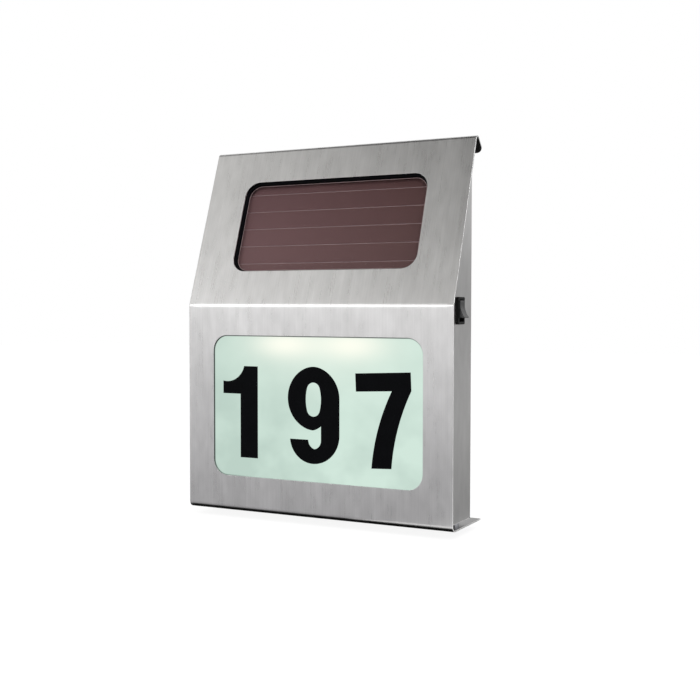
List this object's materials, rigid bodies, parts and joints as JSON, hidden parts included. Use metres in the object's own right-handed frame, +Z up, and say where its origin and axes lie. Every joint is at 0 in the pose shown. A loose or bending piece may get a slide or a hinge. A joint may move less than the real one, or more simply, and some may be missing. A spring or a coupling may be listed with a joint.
{
  "type": "illuminated house number sign",
  "caption": "Folded steel wall sign with a lit number window, a slanted solar panel above it and a rocker switch in its side.",
  "frame": {"origin": "centre of the wall bracket's four screw holes, on the wall plane", "axes": "+X to the right of someone reading the sign, +Y into the wall, +Z up"},
  "size_m": [0.2253, 0.0561, 0.28],
  "materials": {
    "stainless": "brushed, vertical grain",
    "lit_pane": "frosted, lit from behind",
    "black_rubber": "matt",
    "white_plastic": "satin",
    "green_board": "lacquered",
    "clear_lens": "clear",
    "zinc_steel": "zinc plated",
    "black_film": "matt",
    "dark_plastic": "satin",
    "panel_glass": "clear",
    "solar_cell": "satin, dark maroon",
    "cell_sleeve": "printed sleeve",
    "nickel": "plated",
    "brass": "plated",
    "chip_black": "matt",
    "ferrite": "matt",
    "resistor_tan": "lacquered",
    "switch_grey": "satin",
    "switch_black": "satin",
    "wire_red": "satin",
    "wire_white": "satin",
    "wire_blue": "satin",
    "wire_black": "satin"
  },
  "bodies": {
    "sign": {"front_cover": "stainless", "housing": "stainless", "number_pane": "lit_pane", "pane_gasket": "black_rubber", "light_tray": "white_plastic", "lamp_board": "green_board", "white_lamps": "clear_lens", "lamp_board_screws": "zinc_steel", "digit_one": "black_film", "digit_seven": "black_film", "digit_nine": "black_film", "solar_gasket": "black_rubber", "solar_frame": "dark_plastic", "solar_glass": "panel_glass", "solar_cells": "solar_cell", "solar_backing": "dark_plastic", "solar_back_plate": "dark_plastic", "front_studs": "zinc_steel", "front_nuts": "zinc_steel", "solar_studs": "zinc_steel", "solar_nuts": "zinc_steel", "base_spacers": "zinc_steel", "base_screws": "zinc_steel", "base_nuts": "zinc_steel", "locking_screws": "zinc_steel", "locking_nuts": "zinc_steel", "wall_bracket": "zinc_steel", "battery_box": "dark_plastic", "battery_cells": "cell_sleeve", "battery_contacts": "nickel", "battery_springs": "nickel", "door_seal": "black_rubber", "battery_door": "dark_plastic", "door_screws": "zinc_steel", "control_board": "green_board", "board_standoffs": "brass", "board_screws": "zinc_steel", "charge_chip": "chip_black", "board_capacitor": "dark_plastic", "board_coil": "ferrite", "board_resistors": "resistor_tan", "switch_body": "switch_grey", "switch_pin": "zinc_steel", "switch_terminals": "brass", "solar_leads": "wire_red", "lamp_leads": "wire_white", "switch_leads": "wire_blue", "battery_leads": "wire_black"},
    "rocker": {"switch_rocker": "switch_black"}
  },
  "joints": [
    {"name": "rocker_hinge", "type": "hinge", "parent": "sign", "child": "rocker", "pos_m": [0.1097, -0.04516, 0.013], "axis": [0, 1, 0], "range_deg": [0, 30]}
  ]
}
